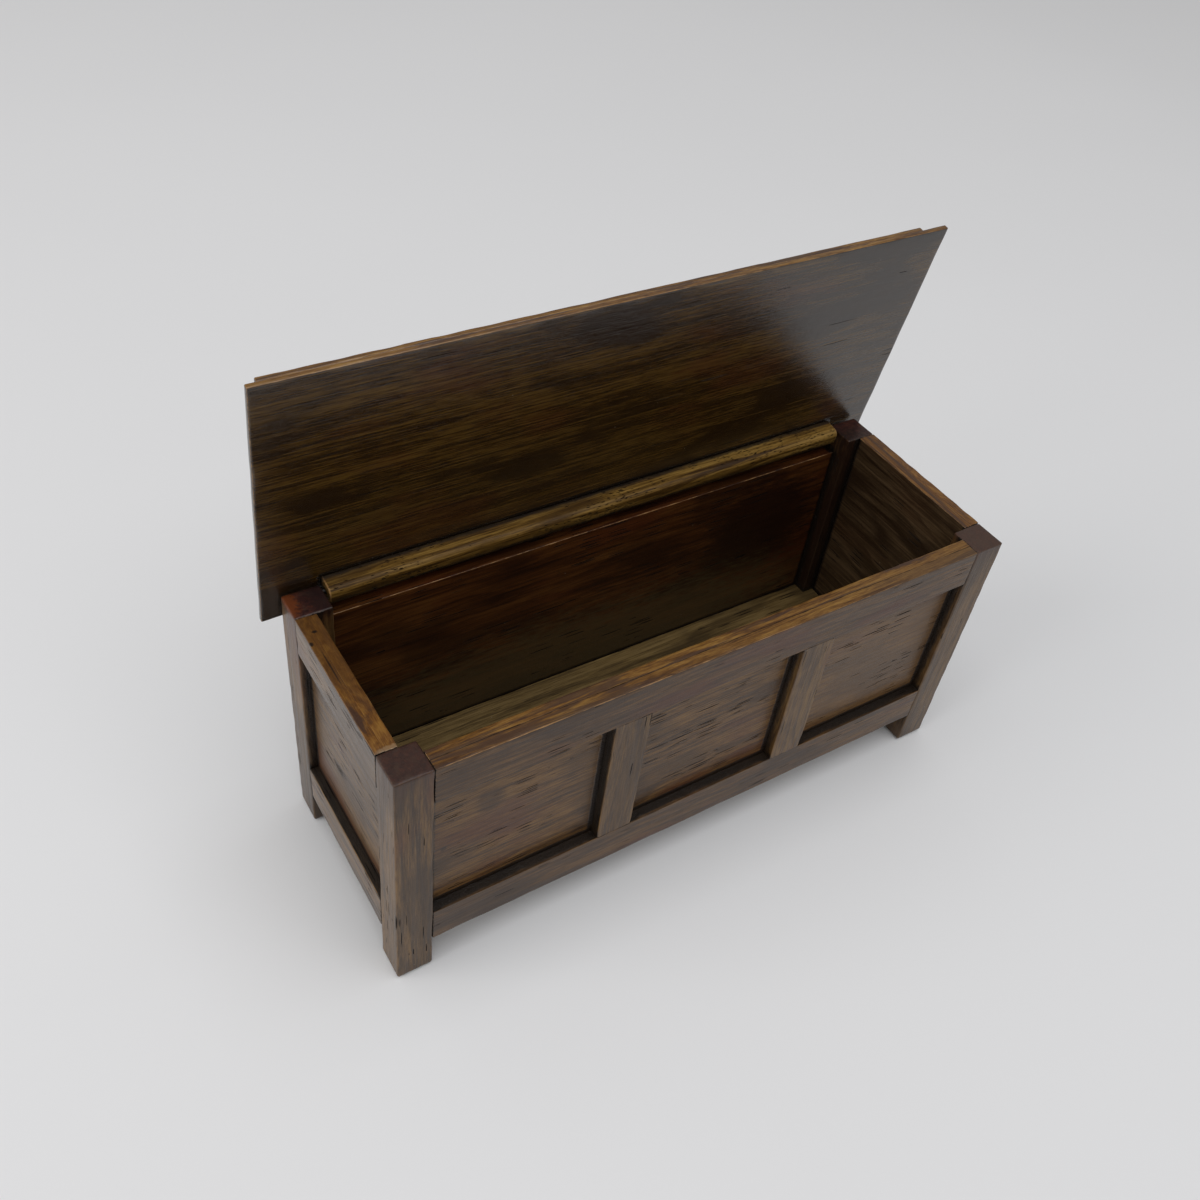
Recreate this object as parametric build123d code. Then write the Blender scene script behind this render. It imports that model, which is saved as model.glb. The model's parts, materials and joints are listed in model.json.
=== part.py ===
from build123d import *
import os

# A small framed chest, a quarter-inch-stripwood miniature at one twelfth of full size.
# Four posts stand at the corners. Thin boards run between them and carry glued-on rails
# and muntins, so each side reads as framed panels. The lid is two thin boards with a bar
# glued under it, and the bar turns between the rear posts on two short pins.
# Millimetres. X runs along the chest, Y runs from front to back, Z is up. The origin is
# on the ground under the middle of the case. The lid is drawn standing open.

# ---- case ----
case_length = 120.0
case_depth = 42.2
case_height = 53.0
post_width = 6.4            # along X
post_depth = 6.2            # along Y
post_edge = 0.3             # worn arrises of the posts
foot_edge = 0.5             # rounder edges under the feet
post_back_round = 0.8       # top back edge of the rear posts, rounded so the lid can pass

# ---- panels and their framing ----
skirt_height = 8.1          # from the ground to the underside of the boards
rail_height = 7.7
muntin_width = 6.9
front_board_thickness = 2.0
front_rail_thickness = 2.0
end_board_thickness = 2.0
end_rail_thickness = 1.6
back_board_thickness = 3.2
back_board_top = 48.3       # lower than the posts, so the hinge bar can turn above it
floor_thickness = 3.0
floor_top = 12.0
strip_edge = 0.25           # worn arrises of rails, muntins and boards

# ---- lid ----
lid_board_thickness = 1.0
lid_cover_thickness = 1.0
lid_end_overhang = 3.1
lid_front_overhang = 3.3
lid_back_overhang = 4.0
cover_left_margin = 1.7     # the cover board is shorter and sits a little to the left
cover_right_margin = 5.0
cover_front_margin = 0.2
cover_back_margin = 0.2
lid_seat_gap = 0.25         # closed lid to post tops
lid_edge = 0.3

# ---- hinge ----
pin_below_top = 1.2         # pin axis under the post tops
pin_from_back = 1.0         # pin axis in front of the rear posts' back faces
pin_radius = 0.4
pin_running_clearance = 0.05
pin_reach_in_bar = 5.0
bar_end_gap = 0.6           # bar to post, at each end
bar_front_reach = 2.1       # pin axis to the bar's front face, lid closed
bar_back_reach = 0.95       # pin axis to the bar's back face, lid closed
bar_height = 3.7
bar_round = 1.2             # lower front edge of the bar
bore_extra_depth = 0.5      # bore past the pin's tip
open_angle = 82.2           # how far the lid stands open as drawn

# ---- worked out from the sizes above ----
half_length = case_length / 2
half_depth = case_depth / 2
span_x = case_length - 2 * post_width
span_y = case_depth - 2 * post_depth
board_height = case_height - skirt_height
lower_rail_z = skirt_height + rail_height / 2
upper_rail_z = case_height - rail_height / 2
panel_height = board_height - 2 * rail_height
front_wall = front_board_thickness + front_rail_thickness
end_wall = end_board_thickness + end_rail_thickness
hinge_y = half_depth - pin_from_back
hinge_z = case_height - pin_below_top
lid_under_z = case_height + lid_seat_gap
bar_length = span_x - 2 * bar_end_gap
lid_length = case_length + 2 * lid_end_overhang
lid_depth = case_depth + lid_front_overhang + lid_back_overhang
lid_front_y = -half_depth - lid_front_overhang


def block(x_size, y_size, z_size, x, y, z, edge=strip_edge):
    """A sawn stick or board centred on x, y, z with lightly worn edges."""
    piece = Pos(x, y, z) * Box(x_size, y_size, z_size)
    return fillet(piece.edges(), edge)


def post(side, face):
    """One corner post. side is -1 left or 1 right, face is -1 front or 1 rear."""
    x = side * (half_length - post_width / 2)
    y = face * (half_depth - post_depth / 2)
    piece = Pos(x, y, case_height / 2) * Box(post_width, post_depth, case_height)
    back_top = piece.edges().filter_by(Axis.X).sort_by(lambda edge: edge.center().Z + edge.center().Y)[-1]
    if face > 0:
        piece = fillet(back_top, post_back_round)
    feet = piece.edges().filter_by(lambda edge: edge.center().Z < foot_edge)
    piece = fillet(feet, foot_edge)
    uprights = piece.edges().filter_by(Axis.Z)
    piece = fillet(uprights, post_edge)
    if face > 0:
        piece -= pin_hole(side, pin_radius, post_width)
    return piece


def pin_hole(side, radius, depth):
    """A round hole on the hinge axis, from the outer face of a rear post inwards."""
    x = side * (half_length - depth / 2)
    return Pos(x, hinge_y, hinge_z) * Rot(0, 90, 0) * Cylinder(radius, depth)


def front_board():
    y = -half_depth + front_rail_thickness + front_board_thickness / 2
    z = skirt_height + board_height / 2
    return block(span_x, front_board_thickness, board_height, 0, y, z)


def front_rail(z):
    y = -half_depth + front_rail_thickness / 2
    return block(span_x, front_rail_thickness, rail_height, 0, y, z)


def front_muntin(side):
    """An upright between two panels. Three equal panels fill the span."""
    panel_width = (span_x - 2 * muntin_width) / 3
    x = side * (panel_width + muntin_width) / 2
    y = -half_depth + front_rail_thickness / 2
    z = skirt_height + rail_height + panel_height / 2
    return block(muntin_width, front_rail_thickness, panel_height, x, y, z)


def end_board(side):
    x = side * (half_length - end_rail_thickness - end_board_thickness / 2)
    z = skirt_height + board_height / 2
    return block(end_board_thickness, span_y, board_height, x, 0, z)


def end_rail(side, z):
    x = side * (half_length - end_rail_thickness / 2)
    return block(end_rail_thickness, span_y, rail_height, x, 0, z)


def back_board():
    height = back_board_top - skirt_height
    y = half_depth - back_board_thickness / 2
    return block(span_x, back_board_thickness, height, 0, y, skirt_height + height / 2)


def floor_board():
    """The bottom, let in between the four boards and notched round the posts."""
    x_size = case_length - 2 * end_wall
    front_y = -half_depth + front_wall
    back_y = half_depth - back_board_thickness
    z = floor_top - floor_thickness / 2
    piece = Pos(0, (front_y + back_y) / 2, z) * Box(x_size, back_y - front_y, floor_thickness)
    for side in (-1, 1):
        for face in (-1, 1):
            x = side * (half_length - post_width / 2)
            y = face * (half_depth - post_depth / 2)
            piece -= Pos(x, y, z) * Box(post_width, post_depth, 2 * floor_thickness)
    return piece


def opened(piece):
    """Turns a piece drawn on the closed lid up to where the lid stands open."""
    hinge = Axis((0, hinge_y, hinge_z), (-1, 0, 0))
    return piece.rotate(hinge, open_angle)


def lid_board():
    y = lid_front_y + lid_depth / 2
    z = lid_under_z + lid_board_thickness / 2
    return opened(block(lid_length, lid_depth, lid_board_thickness, 0, y, z, lid_edge))


def lid_cover_board():
    """The upper layer of the lid, shorter than the board it is glued to."""
    x_size = lid_length - cover_left_margin - cover_right_margin
    y_size = lid_depth - cover_front_margin - cover_back_margin
    x = (cover_left_margin - cover_right_margin) / 2
    y = lid_front_y + cover_front_margin + y_size / 2
    z = lid_under_z + lid_board_thickness + lid_cover_thickness / 2
    return opened(block(x_size, y_size, lid_cover_thickness, x, y, z, lid_edge))


def hinge_bar():
    """The stick glued under the lid. It fills the gap between the rear posts."""
    y_size = bar_front_reach + bar_back_reach
    y = hinge_y - bar_front_reach + y_size / 2
    z = lid_under_z - bar_height / 2
    piece = Pos(0, y, z) * Box(bar_length, y_size, bar_height)
    lower_front = piece.edges().filter_by(Axis.X).sort_by(lambda edge: edge.center().Z + edge.center().Y)[0]
    piece = fillet(lower_front, bar_round)
    bore_depth = post_width + bar_end_gap + pin_reach_in_bar + bore_extra_depth
    for side in (-1, 1):
        piece -= pin_hole(side, pin_radius + pin_running_clearance, bore_depth)
    return opened(piece)


def hinge_pin(side):
    """A short pin pressed through a rear post, on which the bar turns."""
    return pin_hole(side, pin_radius, post_width + bar_end_gap + pin_reach_in_bar)


parts = {
    "front_board": front_board(),
    "front_top_rail": front_rail(upper_rail_z),
    "front_bottom_rail": front_rail(lower_rail_z),
    "back_board": back_board(),
    "floor_board": floor_board(),
    "lid_board": lid_board(),
    "lid_cover_board": lid_cover_board(),
    "hinge_bar": hinge_bar(),
}
for side, name in ((-1, "left"), (1, "right")):
    parts["front_" + name + "_post"] = post(side, -1)
    parts["rear_" + name + "_post"] = post(side, 1)
    parts["front_" + name + "_muntin"] = front_muntin(side)
    parts[name + "_end_board"] = end_board(side)
    parts[name + "_end_top_rail"] = end_rail(side, upper_rail_z)
    parts[name + "_end_bottom_rail"] = end_rail(side, lower_rail_z)
    parts[name + "_hinge_pin"] = hinge_pin(side)

os.makedirs("parts", exist_ok=True)
for node, shape in parts.items():
    export_step(shape, "parts/" + node + ".step")
print("pieces:", len(parts))
print("hinge axis at y", round(hinge_y, 3), "z", round(hinge_z, 3))
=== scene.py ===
# %% [markdown]
# # A framed chest for a doll's house
#
# This lesson dresses a small wooden chest: four posts, thin boards with glued-on strips,
# and a lid that turns on two pins. The design and the moving parts are already settled in
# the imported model, which is loaded first as a fixed frame. Every piece made here is put
# exactly where the frame says and rides on one of its two bodies, `case` or `lid`.
# Sizes in this file are in millimetres until a mesh is written, because wood is worked
# in millimetres; Blender's own unit stays the metre.

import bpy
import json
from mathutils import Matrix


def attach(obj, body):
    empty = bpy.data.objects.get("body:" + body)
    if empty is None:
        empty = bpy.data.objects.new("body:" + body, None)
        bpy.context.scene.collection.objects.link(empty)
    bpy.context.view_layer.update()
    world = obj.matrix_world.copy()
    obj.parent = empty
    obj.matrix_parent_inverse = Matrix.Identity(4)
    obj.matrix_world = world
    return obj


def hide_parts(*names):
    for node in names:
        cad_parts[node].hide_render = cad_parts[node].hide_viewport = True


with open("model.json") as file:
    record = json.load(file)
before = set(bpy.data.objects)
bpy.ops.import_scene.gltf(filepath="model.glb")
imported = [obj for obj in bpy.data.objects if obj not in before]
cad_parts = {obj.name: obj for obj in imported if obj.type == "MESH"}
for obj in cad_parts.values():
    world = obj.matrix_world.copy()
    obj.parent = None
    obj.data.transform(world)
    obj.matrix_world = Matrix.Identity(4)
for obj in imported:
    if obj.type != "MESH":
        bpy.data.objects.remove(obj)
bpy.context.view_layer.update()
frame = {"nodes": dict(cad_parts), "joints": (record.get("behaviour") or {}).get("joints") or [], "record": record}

import json
from math import cos, radians, sin

import bpy
import numpy as np
from mathutils import Matrix, Vector

MM = 0.001
nodes = frame["nodes"]
record = frame["record"]
body_of_node = {node: body for body, members in record["behaviour"]["bodies"].items() for node in members}
slot_of_node = {entry["node"]: entry["material_slot"] for entry in record["subparts"]}
print("nodes:", len(nodes), "bodies:", sorted(set(body_of_node.values())))

# %% [markdown]
# ## Where the lid was drawn
#
# The frame rests with its lid standing open. A board is easier to make lying flat, so the
# lid's pieces are worked out on the closed lid and then turned up about the hinge. The
# hinge's place and how far it is open come from the frame's own joint: the angle back to
# the closed limit is how far the lid stands open now.

# %% The hinge
hinge = next(joint for joint in frame["joints"] if joint["name"] == "lid_hinge")
hinge_point = np.array(hinge["pos_m"]) / MM
stands_open = radians(-hinge["range_deg"][0])


def turned(points, angle):
    """Points turned about the hinge line: the front edge goes up for a positive angle."""
    y, z = (points[:, 1:] - hinge_point[1:]).T
    swung = np.stack([points[:, 0] - hinge_point[0], y * cos(angle) + z * sin(angle),
                      z * cos(angle) - y * sin(angle)], axis=1)
    return swung + hinge_point


def flat_box(node):
    """A node's lowest and highest corners in millimetres, with the lid's pieces laid closed."""
    mesh = nodes[node].data
    points = np.empty(3 * len(mesh.vertices))
    mesh.vertices.foreach_get("co", points)
    points = points.reshape(-1, 3) / MM
    if body_of_node[node] == "lid":
        points = turned(points, -stands_open)
    return points.min(axis=0), points.max(axis=0)


boxes = {node: flat_box(node) for node in nodes}
lid_size = np.round(np.ptp(boxes["lid_board"], axis=0), 1)
print("lid open", round(-hinge["range_deg"][0], 1), "degrees, lid board", lid_size)

# %% [markdown]
# ## The camera
#
# The chest is seen from its left front corner and well above, with the camera held a
# little crooked, as a hand holds it. The camera is set by the direction it looks in, its
# height and place, and its roll, so each number can be pictured.

# %% Camera
camera_place = Vector((-0.1008, -0.1143, 0.1879))
camera_azimuth = 37.49      # degrees to the right of straight ahead (+Y)
camera_down = 43.61         # degrees below the horizon
camera_roll = 8.31          # degrees, the camera's right side tipped up
camera_lens = 35.97         # on a 36 mm sensor


def aim(azimuth, down, roll):
    """Rotation of a camera: it looks along +Y, is turned right by azimuth, tipped down and rolled."""
    turn = Matrix.Rotation(radians(-azimuth), 4, "Z")
    tip = Matrix.Rotation(radians(90 - down), 4, "X")
    crook = Matrix.Rotation(radians(roll), 4, "Z")
    return turn @ tip @ crook


camera = bpy.data.objects.new("camera", bpy.data.cameras.new("camera"))
camera.data.lens = camera_lens
camera.data.sensor_width = 36
camera.data.clip_start = 0.01
camera.data.clip_end = 20
camera.matrix_world = Matrix.Translation(camera_place) @ aim(camera_azimuth, camera_down, camera_roll)
bpy.context.scene.collection.objects.link(camera)
bpy.context.scene.camera = camera
print("camera at", [round(x, 4) for x in camera.location])

# %% [markdown]
# ## Shader helpers
#
# Every finish here is a small tree of shader nodes. A few short helpers keep the trees
# readable: they start a finish, add a node and fill its sockets, do one step of
# arithmetic, draw noise out along the grain, mix two colours and make a colour ramp. A
# number that is the same all over a surface is always set on a socket and never brought
# in through a link.

# %% Shader helpers
def start_finish(name):
    """An empty material and its node tree."""
    finish = bpy.data.materials.new(name)
    finish.use_nodes = True
    finish.node_tree.nodes.clear()
    return finish, finish.node_tree


def add(tree, kind, inputs=None, **settings):
    """Adds a node. Settings are its options; inputs fills sockets and links those given as sockets."""
    made = tree.nodes.new(kind)
    for option, value in settings.items():
        setattr(made, option, value)
    for socket, value in (inputs or {}).items():
        if isinstance(value, bpy.types.NodeSocket):
            tree.links.new(value, made.inputs[socket])
        else:
            made.inputs[socket].default_value = value
    return made


def maths(tree, operation, first, second=0.0, third=0.0):
    """One step of arithmetic on shader values."""
    return add(tree, "ShaderNodeMath", {0: first, 1: second, 2: third}, operation=operation).outputs[0]


def scaled(tree, vector, factors):
    """A vector with each of its three numbers multiplied by its own factor."""
    return add(tree, "ShaderNodeVectorMath", {0: vector, 1: factors}, operation="MULTIPLY").outputs[0]


def stretched_noise(tree, vector, along, across, detail=2.0, rough=0.5, distortion=0.0):
    """Noise drawn out along the grain: features are 1/along mm long and 1/across mm wide."""
    where = scaled(tree, vector, (along, across, across))
    noise = {"Vector": where, "Scale": 1.0, "Detail": detail, "Roughness": rough, "Distortion": distortion}
    return add(tree, "ShaderNodeTexNoise", noise).outputs["Fac"]


def spread(tree, value, low, high, to_low=0.0, to_high=1.0):
    """Value carried smoothly from the range low..high to to_low..to_high, and held at the ends."""
    sockets = {"Value": value, "From Min": low, "From Max": high, "To Min": to_low, "To Max": to_high}
    return add(tree, "ShaderNodeMapRange", sockets, interpolation_type="SMOOTHSTEP").outputs[0]


def mixed(tree, share, first, second, blend="MIX"):
    """Two colours mixed; share 0 is the first and 1 the second."""
    made = add(tree, "ShaderNodeMix", data_type="RGBA", blend_type=blend)
    for socket, value in ((0, share), (6, first), (7, second)):
        if isinstance(value, bpy.types.NodeSocket):
            tree.links.new(value, made.inputs[socket])
        else:
            made.inputs[socket].default_value = value if socket == 0 else (*value, 1.0)
    return made.outputs[2]


def ramp(tree, value, stops):
    """A colour ramp through (place, colour) stops."""
    made = add(tree, "ShaderNodeValToRGB", {0: value})
    elements = made.color_ramp.elements
    while len(elements) < len(stops):
        elements.new(0.5)
    for element, (place, colour) in zip(elements, stops):
        element.position = place
        element.color = (*colour, 1.0)
    return made.outputs[0]


# %% [markdown]
# ## Stained wood
#
# The chest is an open-pored hardwood with a dark walnut stain under lacquer. Real wood is
# a solid, so its figure is worked out in the solid: each piece carries a `grain` attribute
# with millimetres along, across and through its stick, measured from the middle of the
# tree it came from. Growth rings are then steps of distance from that middle line, fibres
# are noise drawn out along it, and end grain comes right by itself.
#
# Three more things were done by hand at the bench and ride in the `place` attribute: how
# far a point is from its own sharp edges, where fingers rub the stain off and a painted
# highlight lightens the arris; how far it is from the wall of a recess, where stain pools
# and painted shade darkens the recess further; and how far from a joint, where a dark gap
# shows. `bare` marks the tops that took little stain.

# %% Wood finish
# near-black: the colour of pores, joints and small marks, and also painted shade in the recesses
pooled_stain_and_shade = (0.005, 0.0032, 0.0022)
# a paler colour for edges: wear from handling, and a painted highlight along the arrises
worn_edge_and_highlight = (0.34, 0.19, 0.075)
dust = (0.3, 0.27, 0.22)


def wood_figure(tree, grain, shares, fineness, ring_width, contrast):
    """A tone from 0 dark to 1 light, with the streaks and fibres it is made of.

    It is the sum of streaks, fibres and broad bands, each times its share, less a share of the
    rings' dark late wood. The ring is the fraction of (distance from the tree's middle + swirl)
    over the ring width.
    """
    along, across, through = add(tree, "ShaderNodeSeparateXYZ", {0: grain}).outputs
    streak = stretched_noise(tree, grain, 0.045, 2.0 * fineness, 6.0, 0.7, 0.25)
    fibre = stretched_noise(tree, grain, 0.28, 3.8, 4.0, 0.7)
    band = stretched_noise(tree, grain, 0.035, 0.25, 4.0, 0.6, 0.4)
    swirl = stretched_noise(tree, grain, 0.022, 0.13, 2.0)
    square = maths(tree, "MULTIPLY_ADD", across, across, maths(tree, "MULTIPLY", through, through))
    reach = maths(tree, "MULTIPLY_ADD", swirl, 9.0, maths(tree, "SQRT", square))
    ring = maths(tree, "FRACT", maths(tree, "DIVIDE", reach, ring_width))
    late_wood = maths(tree, "MULTIPLY", spread(tree, ring, 0.25, 0.88), spread(tree, ring, 0.99, 0.9))
    streak_share, fibre_share, band_share, ring_share = shares
    tone = maths(tree, "MULTIPLY_ADD", fibre, fibre_share, maths(tree, "MULTIPLY", streak, streak_share))
    tone = maths(tree, "MULTIPLY_ADD", band, band_share, tone)
    tone = maths(tree, "MULTIPLY_ADD", late_wood, -ring_share, tone)
    middle = 0.5 * (streak_share + fibre_share + band_share) - 0.3 * ring_share
    return spread(tree, tone, middle - 0.14 / contrast, middle + 0.14 / contrast), streak, fibre


def open_pores(tree, grain, share, length, width):
    """Dashes of mixed sizes along the grain: 1 in a pore and 0 outside.

    Each cell of a stretched Voronoi pattern holds one pore if its own chance is under the
    share, and they gather where slow noise is high. Its other chance sets the pore's size.
    """
    where = scaled(tree, grain, (1 / length, 1 / width, 1 / width))
    cells = add(tree, "ShaderNodeTexVoronoi", {"Vector": where, "Scale": 1.0})
    chance, luck, _ = add(tree, "ShaderNodeSeparateXYZ", {0: cells.outputs["Color"]}).outputs
    gather = spread(tree, stretched_noise(tree, grain, 0.06, 0.17, 3.0), 0.48, 0.62, 0.04, 1.0)
    chosen = maths(tree, "LESS_THAN", chance, maths(tree, "MULTIPLY", gather, share))
    reach = maths(tree, "DIVIDE", cells.outputs["Distance"], maths(tree, "MULTIPLY_ADD", luck, 0.6, 0.45))
    return maths(tree, "MULTIPLY", chosen, spread(tree, reach, 0.46, 0.36))


def stained_spots(tree, colour, spots, uneven):
    """Ragged ellipsoids of another colour.

    Each spot is a place and three radii in millimetres, a colour and a strength. It ends
    where the length of (place - centre) / radii plus uneven noise passes about 1.4.
    """
    where = add(tree, "ShaderNodeTexCoord").outputs["Object"]
    for centre, radii, tint, strength in spots:
        shift = tuple(-c / r for c, r in zip(centre, radii))
        scale = tuple(1 / (MM * r) for r in radii)
        unit = add(tree, "ShaderNodeVectorMath", {0: where, 1: scale, 2: shift}, operation="MULTIPLY_ADD")
        reach = add(tree, "ShaderNodeVectorMath", {0: unit.outputs[0]}, operation="LENGTH").outputs["Value"]
        ragged = maths(tree, "MULTIPLY_ADD", uneven, 1.2, reach)
        colour = mixed(tree, spread(tree, ragged, 1.7, 1.1, 0.0, strength), colour, tint)
    return colour


def wood(name, stained, bare_wood, red=(0.08, 0.018, 0.006), redness=0.4,
         figure=(0.5, 0.25, 0.25, 0.07), fineness=1.0, ring_width=1.7, contrast=1.0,
         cloudiness=0.6, dark_lines=0.5, edge_wear_and_highlight=0.6, swirl=(0.06, 1.0, 0.7), stain_left=0.8,
         pore_share=0.15, pore_size=(6.0, 0.26), spots=(),
         coat=0.45, coat_rough=0.22, coat_ior=1.5, shine=0.2):
    """Solid stained wood under lacquer.

    stained and bare_wood are (deep, mid, light) colours of the two figures. figure is the
    shares of streaks, fibres, bands and rings. swirl is how long, how wide and how curled the
    stain left on bare tops is, and stain_left how strong. pore_size is length and width in
    millimetres. The rest are strengths from 0 to 1, or the lacquer's own numbers.
    """
    finish, tree = start_finish(name)
    grain = add(tree, "ShaderNodeAttribute", attribute_name="grain").outputs["Vector"]
    place = add(tree, "ShaderNodeAttribute", attribute_name="place").outputs["Vector"]
    bare = add(tree, "ShaderNodeAttribute", attribute_name="bare").outputs["Fac"]
    edge_gap, nook_gap, seam_gap = add(tree, "ShaderNodeSeparateXYZ", {0: place}).outputs

    # stained wood, with clouds of deeper and redder stain and a few thin dark lines
    tone, streak, fibre = wood_figure(tree, grain, figure, fineness, ring_width, contrast)
    deep, mid, light = stained
    colour = ramp(tree, tone, [(0.0, deep), (0.5, mid), (1.0, light)])
    cloud = stretched_noise(tree, grain, 0.035, 0.09, 3.0, 0.55)
    colour = mixed(tree, spread(tree, cloud, 0.5, 0.62, 0.0, cloudiness), colour, deep)
    colour = mixed(tree, spread(tree, cloud, 0.47, 0.32, 0.0, redness), colour, red)
    line = stretched_noise(tree, grain, 0.06, 3.2 * fineness, 3.0, 0.6, 0.3)
    colour = mixed(tree, spread(tree, line, 0.57, 0.66, 0.0, dark_lines), colour, deep)

    # tops that took little stain, with swirls of it left in the soft wood
    curl = stretched_noise(tree, grain, swirl[0], swirl[1], 4.0, 0.6, swirl[2])
    speckle = stretched_noise(tree, grain, 0.6, 6.0, 2.0, 0.6)
    warm = maths(tree, "MULTIPLY_ADD", speckle, 0.35, maths(tree, "MULTIPLY", curl, 0.65))
    deep_bare, mid_bare, light_bare = bare_wood
    amber_wood = ramp(tree, warm, [(0.38, deep_bare), (0.5, mid_bare), (0.62, light_bare)])
    left_over = stretched_noise(tree, grain, swirl[0] / 2, swirl[1] / 2, 4.0, 0.6, 1.2 * swirl[2])
    amber_wood = mixed(tree, spread(tree, left_over, 0.52, 0.6, 0.0, stain_left), amber_wood, left_stain)
    colour = mixed(tree, bare, colour, amber_wood)

    # edges rubbed by handling, with a painted highlight on them; stain pooled in recesses, with painted shade;
    # gaps at the joints; spots
    uneven = stretched_noise(tree, grain, 0.4, 1.8, 4.0, 0.6)
    # painted highlight: the edges are lightened as well as worn, most of all on the rails' top arris
    wear_and_highlight_gap = maths(tree, "MULTIPLY_ADD", uneven, -0.5, maths(tree, "ADD", edge_gap, 0.25))
    colour = mixed(tree, spread(tree, wear_and_highlight_gap, 0.1, 0.0, 0.0, edge_wear_and_highlight), colour, worn_edge_and_highlight)
    colour = stained_spots(tree, colour, spots, uneven)
    # painted shade: darker towards a recess wall, on top of the stain that really pools there
    pool_and_shade = spread(tree, maths(tree, "MULTIPLY_ADD", uneven, 1.3, nook_gap), 2.7, 1.55, 0.0, 0.9)
    colour = mixed(tree, pool_and_shade, colour, pooled_stain_and_shade)
    seam = spread(tree, maths(tree, "MULTIPLY_ADD", uneven, 0.5, seam_gap), 0.37, 0.2)
    filled = maths(tree, "MULTIPLY_ADD", bare, -0.9, 1.0)
    pore = maths(tree, "MULTIPLY", open_pores(tree, grain, pore_share, *pore_size), filled)

    # a few specks of dust in the lacquer
    wide = scaled(tree, grain, (0.2, 0.2, 0.2))
    to_speck = add(tree, "ShaderNodeTexVoronoi", {"Vector": wide, "Scale": 1.0}).outputs["Distance"]
    colour = mixed(tree, spread(tree, to_speck, 0.022, 0.012, 0.0, 0.6), colour, dust)

    # relief in millimetres: pores, fibres, sanding across the grain, lacquer that isn't quite flat
    crumbs = stretched_noise(tree, grain, 3.0, 5.0, 2.0)
    sanding = stretched_noise(tree, grain, 3.5, 0.25, 3.0)
    lacquer = stretched_noise(tree, grain, 0.35, 0.8, 2.0)
    height = maths(tree, "MULTIPLY", pore, -0.05)
    height = maths(tree, "MULTIPLY_ADD", fibre, 0.03, height)
    height = maths(tree, "MULTIPLY_ADD", streak, 0.04, height)
    height = maths(tree, "MULTIPLY_ADD", sanding, 0.02, height)
    height = maths(tree, "MULTIPLY_ADD", maths(tree, "MULTIPLY", pool_and_shade, crumbs), 0.15, height)
    height = maths(tree, "MULTIPLY_ADD", lacquer, 0.03, height)
    relief = add(tree, "ShaderNodeBump", {"Height": height, "Distance": MM, "Strength": 1.0}).outputs[0]
    film = add(tree, "ShaderNodeBump", {"Height": height, "Distance": MM, "Strength": 0.8}).outputs[0]

    # lacquer doesn't bridge pores and joints, so they are dull black gaps in it
    gap = maths(tree, "MULTIPLY", maths(tree, "MAXIMUM", pore, seam), 0.95)
    colour = mixed(tree, gap, colour, pooled_stain_and_shade)
    roughness = maths(tree, "MAXIMUM", spread(tree, streak, 0.3, 0.7, 0.4, 0.6), gap)
    lacquered = maths(tree, "MULTIPLY_ADD", gap, -coat, coat)
    surface = add(tree, "ShaderNodeBsdfPrincipled", {
        "Base Color": colour, "Roughness": roughness, "IOR": 1.5, "Specular IOR Level": shine,
        "Coat Weight": lacquered, "Coat Roughness": coat_rough, "Coat IOR": coat_ior,
        "Normal": relief, "Coat Normal": film})
    add(tree, "ShaderNodeOutputMaterial", {"Surface": surface.outputs[0]})
    return finish


# %% [markdown]
# ## Which wood goes where
#
# Most colours below are a stain's (deep, mid, light), and each is named for where it is or
# what it looks like. The same walnut stain took differently on each board: reddish on the
# back board, olive on the right end and the floor, nearly black at the post tops, where
# end grain drinks it. A few spots are the chest's own: a bruise, two
# pits and a short crack on the left rim, an orange blush on one post, a knot on the first
# panel, and places on the panels and the back board that took the stain paler or darker.

# %% Finishes
panel_brown = ((0.032, 0.014, 0.0037), (0.104, 0.048, 0.011), (0.19, 0.098, 0.025))
end_brown = ((0.036, 0.0175, 0.006), (0.1, 0.052, 0.0165), (0.18, 0.1, 0.034))
dim_walnut = ((0.03, 0.013, 0.004), (0.078, 0.037, 0.01), (0.15, 0.075, 0.023))
amber = ((0.055, 0.021, 0.0045), (0.145, 0.065, 0.012), (0.245, 0.13, 0.028))
orange_amber = ((0.07, 0.026, 0.005), (0.14, 0.056, 0.009), (0.22, 0.104, 0.019))
left_stain = (0.045, 0.022, 0.014)
purple_brown = ((0.014, 0.004, 0.004), (0.032, 0.009, 0.007), (0.066, 0.02, 0.011))
orange_blush = (0.125, 0.03, 0.006)
# painted shade: near-black for the rear right post's faces inside the chest
inner_post_shade = (0.012, 0.005, 0.0035)
paler = (0.15, 0.08, 0.03)
bleached = (0.26, 0.17, 0.09)
knot_brown = (0.036, 0.015, 0.004)

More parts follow.
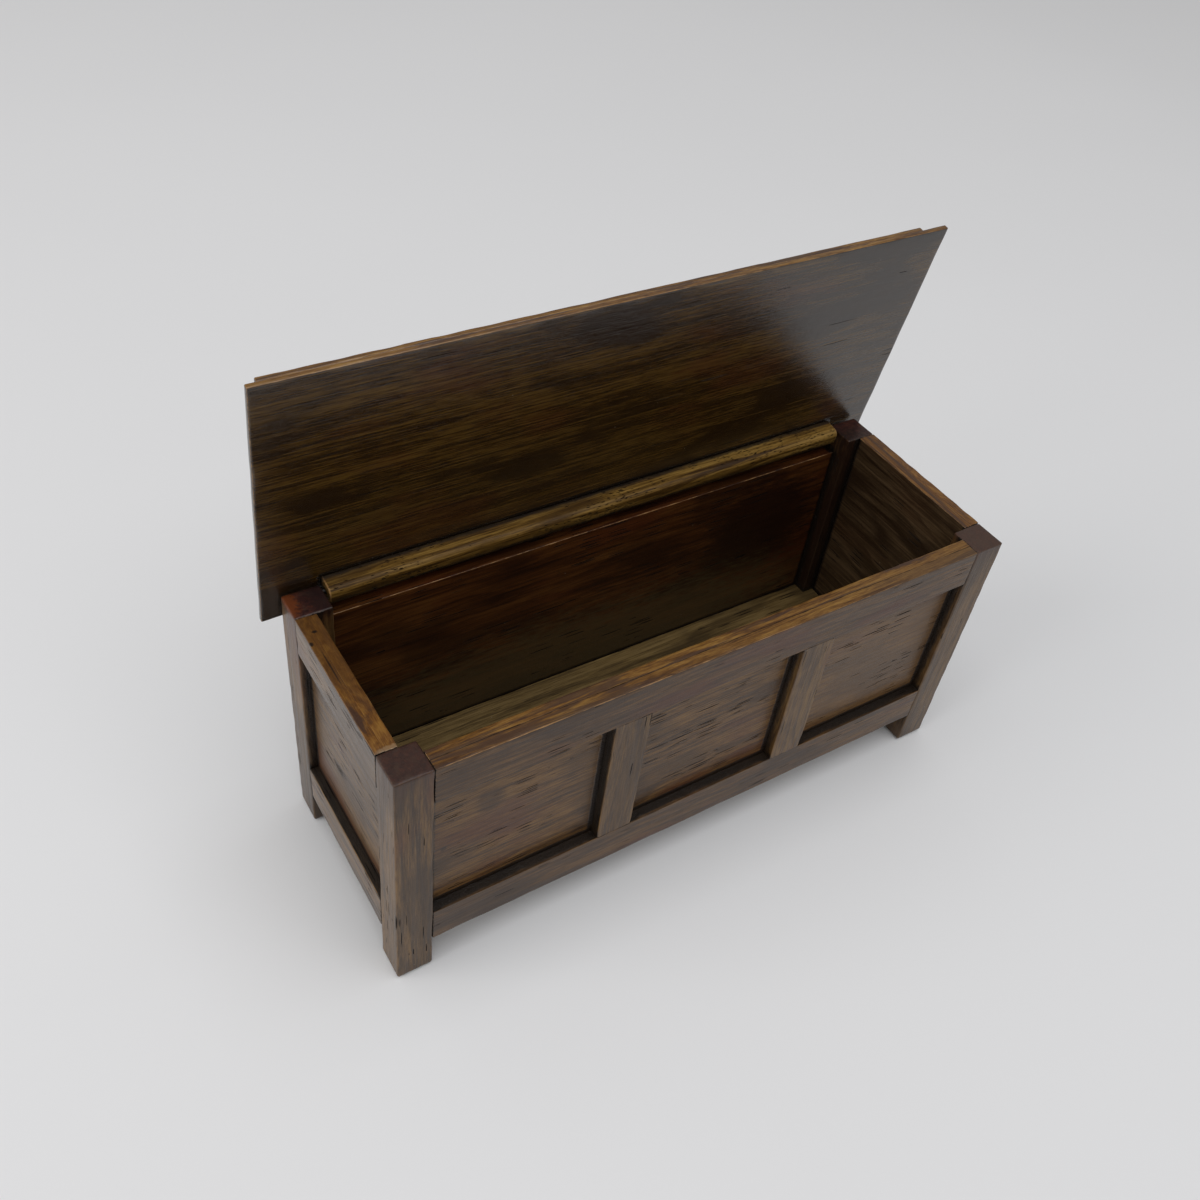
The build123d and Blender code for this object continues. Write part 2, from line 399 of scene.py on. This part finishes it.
front_rim_spots = [((50.0, -20.0, 53), (24.0, 6.0, 1.5), (0.085, 0.046, 0.02), 0.55)]
rim_spots = [
    ((-58.2, 8.5, 53), (5.0, 14.0, 1.5), (0.075, 0.031, 0.006), 0.6),
    ((-58.3, 11.2, 53), (0.5, 0.35, 0.4), pooled_stain_and_shade, 0.9),
    ((-59.7, 8.9, 53), (0.3, 0.55, 0.4), pooled_stain_and_shade, 0.9),
    ((-58.9, 3.3, 53), (0.16, 4.8, 0.3), pooled_stain_and_shade, 0.75),
    ((-59.5, -7.5, 53), (0.8, 4.0, 0.8), left_stain, 0.9),
    ((-57.5, -14.6, 53), (2.8, 0.6, 0.8), bleached, 0.6),
]
post_spots = [
    ((-59.9, 19.0, 53), (2.1, 4.5, 1.2), orange_blush, 0.85),
    ((-54.0, 18.0, 53), (3.4, 6.0, 2.0), (0.012, 0.004, 0.004), 0.8),
    # painted shade on the rear right post inside the chest, fading towards its top
    ((54.0, 15.0, 28), (7.0, 6.0, 44), inner_post_shade, 0.9),
    ((57.0, -18.0, 53), (7.0, 7.0, 1.0), (0.06, 0.033, 0.023), 0.7),
    ((-56.0, -17.0, 53), (7.0, 7.0, 1.0), (0.045, 0.025, 0.019), 0.5),
]
panel_spots = [
    ((-37.5, -19.1, 33.0), (7.5, 1.0, 5.0), paler, 0.15),
    ((40.0, -19.1, 32.0), (26.0, 1.5, 30.0), paler, 0.35),
    ((-51.0, -19.1, 29.5), (0.7, 0.5, 0.6), pooled_stain_and_shade, 0.6),
    ((-43.0, -19.1, 37.5), (3.0, 1.0, 3.5), knot_brown, 0.6),
]
back_spots = [
    ((38, 17.9, 34), (16, 3, 16), (0.012, 0.004, 0.002), 0.85),
    ((-8, 17.9, 13), (75, 3, 17), (0.07, 0.05, 0.02), 0.65),
]
mellow = {"figure": (0.32, 0.42, 0.26, 0.05), "redness": 0.5}
muntin_brown = ((0.045, 0.022, 0.008), (0.12, 0.063, 0.019), (0.2, 0.115, 0.037))
reddish = ((0.016, 0.005, 0.002), (0.056, 0.017, 0.004), (0.1, 0.038, 0.009))
dim_olive = ((0.02, 0.0095, 0.004), (0.056, 0.033, 0.015), (0.1, 0.062, 0.031))
olive = ((0.04, 0.024, 0.008), (0.142, 0.092, 0.032), (0.23, 0.155, 0.06))
lid_brown = ((0.012, 0.005, 0.0013), (0.042, 0.0195, 0.0028), (0.1, 0.053, 0.01))
golden = ((0.038, 0.017, 0.0035), (0.145, 0.077, 0.0145), (0.28, 0.167, 0.04))
finishes = {
    "posts": wood("post_stain", end_brown, purple_brown, dark_lines=0.6, edge_wear_and_highlight=0.2, pore_share=0.2,
                  spots=post_spots, **mellow),
    "rails": wood("rail_stain", dim_walnut, amber, edge_wear_and_highlight=0.85, pore_share=0.15,
                  spots=front_rim_spots, **mellow),
    "muntins": wood("muntin_stain", muntin_brown, amber, edge_wear_and_highlight=0.3, pore_share=0.1, **mellow),
    "ends": wood("end_stain", end_brown, orange_amber, swirl=(0.25, 0.45, 1.2), stain_left=0.3,
                 pore_share=0.6, pore_size=(6.5, 0.28), coat=0.6, spots=rim_spots, **mellow),
    "boards": wood("board_stain", panel_brown, amber, fineness=1.3, contrast=1.1, dark_lines=0.7,
                   pore_share=0.55, pore_size=(6.0, 0.26), spots=panel_spots, **mellow),
    "back": wood("back_board_stain", reddish, amber, redness=0.5, figure=(0.4, 0.2, 0.4, 0.05), fineness=1.7,
                 contrast=1.05, dark_lines=0.95, edge_wear_and_highlight=0.9, pore_share=0.5, pore_size=(8.0, 0.32),
                 coat=0.35, shine=0.1, spots=back_spots),
    "right_end": wood("right_end_stain", dim_olive, orange_amber, redness=0.1, cloudiness=0.9,
                      dark_lines=0.8, pore_share=0.3),
    "floor": wood("floor_stain", olive, amber, redness=0.0, figure=(0.4, 0.25, 0.2, 0.07), fineness=1.3,
                  ring_width=3.4, dark_lines=0.6, pore_share=0.1),
    "lid": wood("lid_stain", lid_brown, amber, redness=0.25, figure=(0.45, 0.3, 0.25, 0.02), fineness=2.0,
                contrast=1.25, cloudiness=0.8, dark_lines=0.8, pore_share=0.06, pore_size=(9.0, 0.2),
                coat=1.0, coat_rough=0.16, coat_ior=1.6, shine=0.05),
    "bar": wood("bar_stain", golden, amber, redness=0.0, contrast=1.2, pore_share=0.8, pore_size=(1.1, 0.2),
                coat=0.22, coat_rough=0.35, shine=0.1),
}
own_finish = {"back_board": "back", "right_end_board": "right_end", "left_end_board": "ends"}
for side in ("left", "right"):
    own_finish |= {f"{side}_end_{level}_rail": "ends" for level in ("top", "bottom")}
    own_finish[f"front_{side}_muntin"] = "muntins"
print("wood finishes:", sorted(finishes))

# %% [markdown]
# ## Pin steel
#
# The pins are cut from drawn wire. Drawing leaves fine lines along the wire and the cut
# end is a little rough, so the roughness and a faint relief follow noise that is much
# longer along the pin than round it.

# %% Steel finish
def drawn_steel(name):
    """Grey wire with fine drawing lines along X and a few dull spots."""
    finish, tree = start_finish(name)
    grain = add(tree, "ShaderNodeAttribute", attribute_name="grain").outputs["Vector"]
    lines = stretched_noise(tree, grain, 0.8, 25.0, 2.0)
    spots = stretched_noise(tree, grain, 4.0, 4.0, 3.0)
    colour = ramp(tree, spots, [(0.3, (0.025, 0.022, 0.02)), (0.6, (0.09, 0.085, 0.08))])
    roughness = spread(tree, lines, 0.3, 0.7, 0.35, 0.6)
    relief = add(tree, "ShaderNodeBump", {"Height": lines, "Distance": 0.02 * MM, "Strength": 1.0}).outputs[0]
    surface = add(tree, "ShaderNodeBsdfPrincipled", {
        "Base Color": colour, "Metallic": 1.0, "Roughness": roughness, "Normal": relief})
    add(tree, "ShaderNodeOutputMaterial", {"Surface": surface.outputs[0]})
    return finish


finishes["pins"] = drawn_steel("pin_steel")

# %% [markdown]
# ## A hand-worked block
#
# Almost every piece is a sawn stick or board with its sharp edges taken off. It could be
# a cube with a Bevel modifier, but then every edge would be machine-true. Here the skin is
# worked out directly: each of the six faces is a grid of two parameters, the grid lines
# crowd together at the edges, and the edges are rounded by a short formula. The same
# arrays then let the surface waver a few hundredths of a millimetre, as sanded wood does.

# %% Block skin
def smooth_waver(points, seed, wavelength):
    """Between about -1 and 1: the sum of five plane sine waves, over 2.6.

    Their directions, lengths and phases come from the seed.
    """
    chance = np.random.default_rng(seed)
    ways = chance.normal(size=(5, 3))
    ways /= np.linalg.norm(ways, axis=1, keepdims=True)
    lengths = wavelength * chance.uniform(0.6, 1.7, 5)
    phases = chance.uniform(0, 2 * np.pi, 5)
    return np.sin(points @ (2 * np.pi * ways / lengths[:, None]).T + phases).sum(axis=1) / 2.6


def grid_lines(low, high, edge, pitch):
    """Places along one side, about pitch apart in the middle and crowded at the ends.

    From an end they are edge * (1 - tangent of an angle), for even angles from 45 to 0 degrees.
    """
    corner = edge * (1 - np.tan(np.radians([45, 30, 15, 0])))
    inner_low, inner_high = low + 2 * edge, high - 2 * edge
    middle = np.linspace(inner_low, inner_high, max(2, 1 + round((inner_high - inner_low) / pitch)))
    return np.concatenate([low + corner, middle, high - corner[::-1]])


def block_faces(low, high, edge, pitch):
    """Points and quads of a box's six faces: grids of two parameters, joined where they meet."""
    lines = [grid_lines(low[k], high[k], edge, pitch) for k in range(3)]
    points, quads, count = [], [], 0
    for k in range(3):
        first, second = (k + 1) % 3, (k + 2) % 3
        for level, outward in ((low[k], False), (high[k], True)):
            grid = np.empty((len(lines[first]), len(lines[second]), 3))
            grid[..., k] = level
            grid[..., first] = lines[first][:, None]
            grid[..., second] = lines[second][None, :]
            index = count + np.arange(grid[..., 0].size).reshape(grid.shape[:2])
            turn = [index[:-1, :-1], index[1:, :-1], index[1:, 1:], index[:-1, 1:]]
            quads.append(np.stack(turn if outward else turn[::-1], axis=-1).reshape(-1, 4))
            points.append(grid.reshape(-1, 3))
            count += index.size
    points, quads = np.concatenate(points), np.concatenate(quads)
    _, keep, same = np.unique(np.round(points, 4), axis=0, return_index=True, return_inverse=True)
    return points[keep], same.reshape(-1)[quads]


def round_over(points, low, high, edge, glued):
    """Rounds the edges of a box's skin, except round its glued sides, which stay square.

    The core is the box shrunk by edge on every side that isn't glued. A point's distance from
    the core becomes the largest of its three offsets from it, which turns a square corner into
    a quarter circle and leaves flat faces flat. Gives points and normals.
    """
    core = np.clip(points, low + edge * ~glued[0], high - edge * ~glued[1])
    away = points - core
    length = np.maximum(np.linalg.norm(away, axis=1, keepdims=True), 1e-9)
    rounded = core + away * np.abs(away).max(axis=1, keepdims=True) / length
    flat = (points > high - 1e-6).astype(float) - (points < low + 1e-6)
    normals = away + 1e-3 * flat
    return rounded, normals / np.linalg.norm(normals, axis=1, keepdims=True)


def edge_distance(points, low, high, glued):
    """How far a skin point is from a sharp edge: its second smallest gap to sides that aren't glued."""
    gaps = np.concatenate([points - low + 99 * glued[0], high - points + 99 * glued[1]], axis=1)
    return np.sort(gaps, axis=1)[:, 1]


def mates_of(node):
    """The other nodes of the same body."""
    return [other for other in nodes if other != node and body_of_node[other] == body_of_node[node]]


def glued_sides(node):
    """Which low and high sides of a node lie flat against a board or rail of the same body."""
    low, high = boxes[node]
    glued = np.zeros((2, 3), bool)
    partners = [boxes[other] for other in mates_of(node)
                if {slot_of_node[other], slot_of_node[node]} <= {"rails", "boards"}]
    for other_low, other_high in partners:
        overlap = np.minimum(high, other_high) - np.maximum(low, other_low)
        shares = np.array([min(np.delete(overlap, k)) > 1 for k in range(3)])
        glued[0] |= shares & (np.abs(low - other_high) < 0.01)
        glued[1] |= shares & (np.abs(high - other_low) < 0.01)
    return glued


clear_air = 9.0             # a neighbour this far away no longer matters


def box_distance(points, others):
    """How far each point is from the nearest of the other boxes: the length of its overshoots."""
    nearest = np.full(len(points), clear_air)
    for low, high in others:
        outside = np.maximum(0, np.maximum(low - points, points - high))
        nearest = np.minimum(nearest, np.linalg.norm(outside, axis=1))
    return nearest


# %% [markdown]
# ## From arrays to a piece
#
# One function writes a mesh, its attributes and its finish, turns a lid piece up to where
# the lid stands, hides the frame's own part for its node and hangs the piece on the body
# it rides on. The grain runs along a named axis. A seeded draw says how far along the tree
# and how far from its middle the piece was cut, so no two pieces share a figure.

# %% Piece maker
def grain_of(points, axis, seed):
    """Millimetres along, across and through the stick, measured from the middle of its tree."""
    chance = np.random.default_rng(seed)
    order = {"X": [0, 2, 1], "Y": [1, 2, 0], "Z": [2, 0, 1]}[axis]
    offset = np.array([chance.uniform(0, 900), chance.uniform(-25, 25), chance.uniform(18, 60)])
    return points[:, order] + offset


def set_attribute(mesh, name, values):
    """Stores one number or one vector per point on the mesh."""
    kind, field = ("FLOAT", "value") if values.ndim == 1 else ("FLOAT_VECTOR", "vector")
    mesh.attributes.new(name, kind, "POINT").data.foreach_set(field, values.astype(np.float32).ravel())


def make_piece(name, points, faces, node, axis, seed, place=None, bare=None):
    """Writes the mesh of one wooden or steel piece that stands for a node, and sets it on its body."""
    grain = grain_of(points, axis, seed)
    if body_of_node[node] == "lid":
        points = turned(points, stands_open)
    mesh = bpy.data.meshes.new(name)
    mesh.from_pydata((points * MM).tolist(), [], faces)
    mesh.shade_smooth()
    set_attribute(mesh, "grain", grain)
    if place is not None:
        set_attribute(mesh, "place", place)
        set_attribute(mesh, "bare", bare)
    mesh.materials.append(finishes[own_finish.get(node, slot_of_node[node])])
    piece = bpy.data.objects.new(name, mesh)
    bpy.context.scene.collection.objects.link(piece)
    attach(piece, body_of_node[node])
    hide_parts(node)
    return piece


# %% [markdown]
# ## Sticks and boards
#
# Now the pieces themselves. Sanding takes a little more off the edges than off the faces,
# and always inwards, so a piece never grows past its true size. The tops of the front and
# end boards with their rails, and the lid's front edges, were sanded after staining and
# show the amber wood underneath. Stain pools in the nooks between pieces, with painted shade
# darkening them further, and a dark gap shows at each joint, but not where the end rails are
# glued tight to their boards.

# %% Make the blocks
def bare_share(points, normals, way, high, bleed):
    """1 on faces that look the given way, and bleed * exp(-depth / 3) down the sides below them."""
    if way is None:
        return np.zeros(len(points))
    facing = np.clip((normals @ np.array(way, float) - 0.45) / 0.3, 0, 1)
    return np.maximum(facing, bleed * np.exp(-(high[2] - points[:, 2]) / 3.0))


# painted shade lies with the pooled stain in the nooks, so a larger scale narrows both
nook_scale = {"boards": 1.75, "lid": 2.5, "floor": 99.0}    # larger: stain pools in a narrower strip
nook_height = 2.0           # how far above the surface a nook's wall is looked for
inside_ease = 0.9           # the chest's inner faces count as this much further from a wall
face_sanding = 0.02         # the most that sanding takes off a face
edge_reach = 0.35           # how far from an edge handling wears it


def block_piece(node, axis, seed, edge=0.18, pitch=0.6, wear=0.05, bare_way=None, bleed=0.0,
                reshape=None):
    """A worn stick or board in a node's own box. Reshape may bend its points before they waver.

    A point sinks by face_sanding * (1 + waver) / 2, and near an edge also by wear * exp(-(distance
    / edge_reach)^2) * (0.35 + another waver). Its nook gap is the distance from a place above it
    to the nearest piece of its body, and gaps under 2 mm shrink to gap^2 / 2.
    """
    low, high = boxes[node]
    glued = glued_sides(node)
    square, quads = block_faces(low, high, edge, pitch)
    points, normals = round_over(square, low, high, edge, glued)
    if reshape is not None:
        points, normals = reshape(points, normals, low, high)
    from_edge = edge_distance(square, low, high, glued)

    mates = [other for other in mates_of(node) if slot_of_node[other] != "pins"]
    tight = {"rails", "boards"} if "_end_" in node else None
    others = [boxes[other] for other in mates]
    open_joints = [boxes[other] for other in mates if {slot_of_node[other], slot_of_node[node]} != tight]
    looks_inside = (points[:, :2] * normals[:, :2]).sum(axis=1) < 0
    lifted = points + nook_height * normals
    nook = box_distance(lifted, others) * nook_scale.get(slot_of_node[node], 1.0)
    nook = nook * np.minimum(nook / 2, 1) + inside_ease * looks_inside
    place = np.stack([from_edge, nook, box_distance(points, open_joints)], axis=1)
    bare = bare_share(points, normals, bare_way, high, bleed)

    handled = np.clip(0.35 + smooth_waver(points, seed + 500, 5.0), 0, None)
    sink = face_sanding * (1 + smooth_waver(points, seed, 23.0)) / 2
    sink += wear * np.exp(-(from_edge / edge_reach) ** 2) * handled
    points = points - sink[:, None] * normals
    return make_piece(node + "_wood", points, quads, node, axis, seed, place, bare)


up, front = (0, 0, 1), (0, -1, 0)
rim_top = {"bare_way": up}
lid_front = {"bare_way": front, "edge": 0.22}
plan = [
    ("front_board", "X", rim_top), ("front_top_rail", "X", rim_top), ("front_bottom_rail", "X", {}),
    ("front_left_muntin", "Z", {}), ("front_right_muntin", "Z", {}), ("back_board", "X", {}),
    ("floor_board", "X", {}), ("lid_board", "X", lid_front), ("lid_cover_board", "X", lid_front),
]
for side in ("left", "right"):
    plan += [(f"{side}_end_board", "Y", rim_top), (f"{side}_end_top_rail", "Y", rim_top),
             (f"{side}_end_bottom_rail", "Y", {})]
for number, (node, axis, options) in enumerate(plan):
    made = block_piece(node, axis, 11 + number, **options)
    print(made.name, len(made.data.polygons), "faces")

# %% [markdown]
# ## Posts
#
# The posts are square sticks with softer edges, and rounder ones under the feet. The two at
# the back have their top back edge rounded over, because the lid's underside has to pass it
# as it swings. Squeezing a square corner into a quarter circle does that: a point's larger
# offset from the arc's centre becomes its distance from it.

# %% Make the posts
back_round = 0.8            # radius of the rear posts' top back edge
foot_round = 1.0            # radius of the edges the chest stands on


def rounded_feet(points, normals, low, high):
    """Drawn in by r - root(r^2 - (r - height)^2), a quarter circle between the side and the ground."""
    short = np.clip(foot_round - (points[:, 2] - low[2]), 0, foot_round)
    inset = foot_round - np.sqrt(foot_round ** 2 - short ** 2)
    middle, half_width = (low[:2] + high[:2]) / 2, (high[:2] - low[:2]) / 2
    shaped = points.copy()
    shaped[:, :2] = middle + (points[:, :2] - middle) * (1 - inset[:, None] / half_width)
    return shaped, normals


def rounded_back(points, normals, low, high):
    """Rounded feet, and the top back corner squeezed to a quarter circle."""
    centre = high[1:] - back_round
    offset = points[:, 1:] - centre
    inside = (offset > 0).all(axis=1)
    reach = offset.max(axis=1)
    length = np.maximum(np.linalg.norm(offset, axis=1), 1e-9)
    shaped, leaning = rounded_feet(points, normals.copy(), low, high)
    shaped[inside, 1:] = centre + offset[inside] * (reach / length)[inside, None]
    outer = inside & (reach > back_round - 0.3)
    leaning[outer, 1:] = offset[outer] / length[outer, None]
    leaning[outer] /= np.linalg.norm(leaning[outer], axis=1, keepdims=True)
    return shaped, leaning


for number, (face, side) in enumerate((f, s) for f in ("front", "rear") for s in ("left", "right")):
    reshape = rounded_back if face == "rear" else rounded_feet
    block_piece(f"{face}_{side}_post", "Z", 41 + number, edge=0.28, pitch=0.4, wear=0.06,
                bare_way=up, bleed=0.7, reshape=reshape)
print("posts made")

# %% [markdown]
# ## The hinge bar
#
# The bar is a moulding: one profile carried along its length. The profile is a rectangle
# with its lower front corner well rounded, where it swings past the back board. At each
# end the skin turns in, narrows to the pin's bore and goes down it, so the pin really
# enters a hole. Rings of points carried along X make the whole skin in one grid.

# %% Make the hinge bar
bore_radius = 0.45
bore_depth = 5.5
bar_round = 1.2             # radius of the lower front corner
bar_edge = 0.2              # the other corners


def bar_profile(low, high, step=0.25):
    """Points and outward directions round the bar's section, which is four arcs and straight sides.

    The arcs' points stand at even angles, and the sides between them are cut about step apart.
    """
    y0, z0, y1, z1 = low[1], low[2], high[1], high[2]
    corners = [(y0, z0, bar_round, 180), (y1, z0, bar_edge, 270),
               (y1, z1, bar_edge, 0), (y0, z1, bar_edge, 90)]
    points, outward = [], []
    for y, z, radius, start in corners:
        turn = np.radians(start + np.linspace(0, 90, 9 if radius > 1 else 5))
        way = np.stack([np.cos(turn), np.sin(turn)], axis=1)
        centre = np.array([y + radius * (1 if y == y0 else -1), z + radius * (1 if z == z0 else -1)])
        points.append(centre + radius * way)
        outward.append(way)
    loop, ways = np.concatenate(points), np.concatenate(outward)
    gaps = np.linalg.norm(np.roll(loop, -1, axis=0) - loop, axis=1)
    parts = np.maximum(1, np.round(gaps / step).astype(int))
    where = np.repeat(np.arange(len(loop)), parts)
    share = (np.arange(len(where)) - np.repeat(np.cumsum(parts) - parts, parts)) / parts[where]
    after = (where + 1) % len(loop)
    full = loop[where] + share[:, None] * (loop[after] - loop[where])
    lean = ways[where] + share[:, None] * (ways[after] - ways[where])
    return full, lean / np.linalg.norm(lean, axis=1, keepdims=True)


def ring_skin(rings):
    """Quads between neighbouring rings, and a polygon that closes each end."""
    count, size = rings.shape[:2]
    index = np.arange(count * size).reshape(count, size)
    after = np.roll(index, -1, axis=1)
    quads = np.stack([index[:-1], after[:-1], after[1:], index[1:]], axis=-1).reshape(-1, 4)
    return rings.reshape(-1, 3), [*quads.tolist(), index[0][::-1].tolist(), index[-1].tolist()]


def facing_out(points, faces):
    """The same faces, turned round if the volume they enclose comes out negative."""
    quads = np.array([face for face in faces if len(face) == 4])
    a, b, c, d = (points[quads[:, k]] for k in range(4))
    volume = np.einsum("ij,ij->i", a, np.cross(b, c) + np.cross(c, d)).sum()
    return faces if volume > 0 else [face[::-1] for face in faces]


def bar_piece(node, seed):
    """The moulding with turned-in ends and a bore at each, from bore bottom to bore bottom."""
    low, high = boxes[node]
    section, outward = bar_profile(low, high)
    axis_yz = hinge_point[1:]
    angle = np.arctan2(*(section - axis_yz).T[::-1])
    bore = axis_yz + bore_radius * np.stack([np.cos(angle), np.sin(angle)], axis=1)
    rings, edges = [], []

    def ring(x, yz, edge):
        rings.append(np.concatenate([np.full((len(yz), 1), x), yz], axis=1))
        edges.append(np.full(len(yz), edge))

    turns = np.radians(np.linspace(90, 0, 4))
    end = [(bore_depth, bore, 2.0), (0.3, bore, 0.3), (0.0, bore, 0.3)]
    end += [(0.0, bore + s * (section - bar_edge * outward - bore), 1.0 - s) for s in (0.33, 0.66, 0.9)]
    end += [(bar_edge * (1 - sin(t)), section - bar_edge * (1 - cos(t)) * outward, 0.0) for t in turns]
    body = np.linspace(low[0] + 0.5, high[0] - 0.5, round((high[0] - low[0]) / 0.5))
    for depth, yz, edge in end:
        ring(low[0] + depth, yz, edge)
    for x in body:
        ring(x, section, 1.0)
    for depth, yz, edge in end[::-1]:
        ring(high[0] - depth, yz, edge)
    points, faces = ring_skin(np.array(rings))
    across = np.tile(np.concatenate([np.zeros((len(outward), 1)), outward], axis=1), (len(rings), 1))
    order = np.arange(len(rings))
    on_side = np.repeat((order >= len(end)) & (order < len(end) + len(body)), len(section))
    sink = on_side * 0.05 * (1 + smooth_waver(points, seed, 9.0)) / 2
    points = points - sink[:, None] * across
    # painted shade: the bar darkens next to the lid and across its underside, which faces forward under the open
    # lid
    under = np.where(points[:, 2] < low[2] + 0.3, high[1] - points[:, 1], clear_air)
    nook = np.minimum(np.clip(high[2] - points[:, 2], 0, clear_air), under)
    from_edge = np.concatenate(edges) + 0.6 * on_side
    place = np.stack([from_edge, nook + 0.7, np.full(len(points), clear_air)], axis=1)
    faces, bare = facing_out(points, faces), np.zeros(len(points))
    return make_piece(node + "_wood", points, faces, node, "X", seed, place, bare)


print(bar_piece("hinge_bar", 71).name, "bar made")

# %% [markdown]
# ## Hinge pins
#
# Each pin is a length of wire pressed through a rear post. Its outer end was nipped and
# filed, so it is slightly domed. A pin is a circle carried along X whose radius follows a
# quarter ellipse at the ends.

# %% Make the pins
def pin_piece(node, seed, dome=0.12, around=28):
    """A circle carried along X. In a dome its radius shrinks by root(1 - (how far into it)^2)."""
    low, high = boxes[node]
    radius = (high[1] - low[1]) / 2
    centre = (low[1:] + high[1:]) / 2
    into = np.sin(np.radians(np.linspace(90, 0, 6)))
    middle = np.linspace(low[0] + dome, high[0] - dome, 20)[1:-1]
    x = np.concatenate([low[0] + dome * (1 - into), middle, high[0] - dome * (1 - into[::-1])])
    size = np.concatenate([np.sqrt(1 - into ** 2), np.ones(len(middle)), np.sqrt(1 - into[::-1] ** 2)])
    size = radius * np.maximum(size, 0.3)
    turn = np.linspace(0, 2 * np.pi, around, endpoint=False)
    rings = np.empty((len(x), around, 3))
    rings[..., 0] = x[:, None]
    rings[..., 1] = centre[0] + size[:, None] * np.cos(turn)
    rings[..., 2] = centre[1] + size[:, None] * np.sin(turn)
    points, faces = ring_skin(rings)
    return make_piece(node + "_wire", points, facing_out(points, faces), node, "X", seed)


for number, side in enumerate(("left", "right")):
    print(pin_piece(side + "_hinge_pin", 81 + number).name)

# %% [markdown]
# ## Floor and light
#
# A pale studio floor and large soft lights. The lacquer shows them as a grey haze on
# faces seen at a slant, so the floor's brightness matters as much as the lights'.

# %% Stage
def flat_finish(name, colour):
    """Matt paint with a very faint mottle."""
    finish, tree = start_finish(name)
    where = add(tree, "ShaderNodeTexCoord").outputs["Object"]
    mottle = add(tree, "ShaderNodeTexNoise", {"Vector": where, "Scale": 6.0, "Detail": 2.0}).outputs["Fac"]
    shade = ramp(tree, mottle, [(0.3, tuple(0.985 * c for c in colour)), (0.7, colour)])
    surface = add(tree, "ShaderNodeBsdfPrincipled", {
        "Base Color": shade, "Roughness": 0.9, "Specular IOR Level": 0.1})
    add(tree, "ShaderNodeOutputMaterial", {"Surface": surface.outputs[0]})
    return finish


floor_size = 6.0            # metres
half = floor_size / 2
floor_corners = [(-half, -half, 0), (half, -half, 0), (half, half, 0), (-half, half, 0)]
floor_mesh = bpy.data.meshes.new("studio_floor")
floor_mesh.from_pydata(floor_corners, [], [(0, 1, 2, 3)])
floor_mesh.materials.append(flat_finish("pale_floor", (0.785, 0.8, 0.83)))
studio_floor = bpy.data.objects.new("studio_floor", floor_mesh)
bpy.context.scene.collection.objects.link(studio_floor)


def soft_light(name, place, target, size, power, colour=(1, 1, 1)):
    """A square area light that faces a target."""
    light = bpy.data.lights.new(name, "AREA")
    light.shape = "SQUARE"
    light.size = size
    light.energy = power
    light.color = colour
    lamp = bpy.data.objects.new(name, light)
    lamp.location = place
    lamp.rotation_mode = "QUATERNION"
    lamp.rotation_quaternion = (Vector(target) - Vector(place)).to_track_quat("-Z", "Y")
    bpy.context.scene.collection.objects.link(lamp)
    return lamp


soft_light("overhead", (0.0, -0.3, 1.1), (0, 0, 0), 1.2, 7.5)
soft_light("left_window", (-1.0, 0.1, 0.5), (0, 0, 0.02), 0.8, 4.8, (1.0, 0.97, 0.93))
world = bpy.data.worlds.new("studio")
world.use_nodes = True
background = next(node for node in world.node_tree.nodes if node.type == "BACKGROUND")
background.inputs["Color"].default_value = (1.0, 0.965, 0.92, 1.0)
background.inputs["Strength"].default_value = 0.34
bpy.context.scene.world = world
bpy.context.scene.view_settings.view_transform = "Standard"
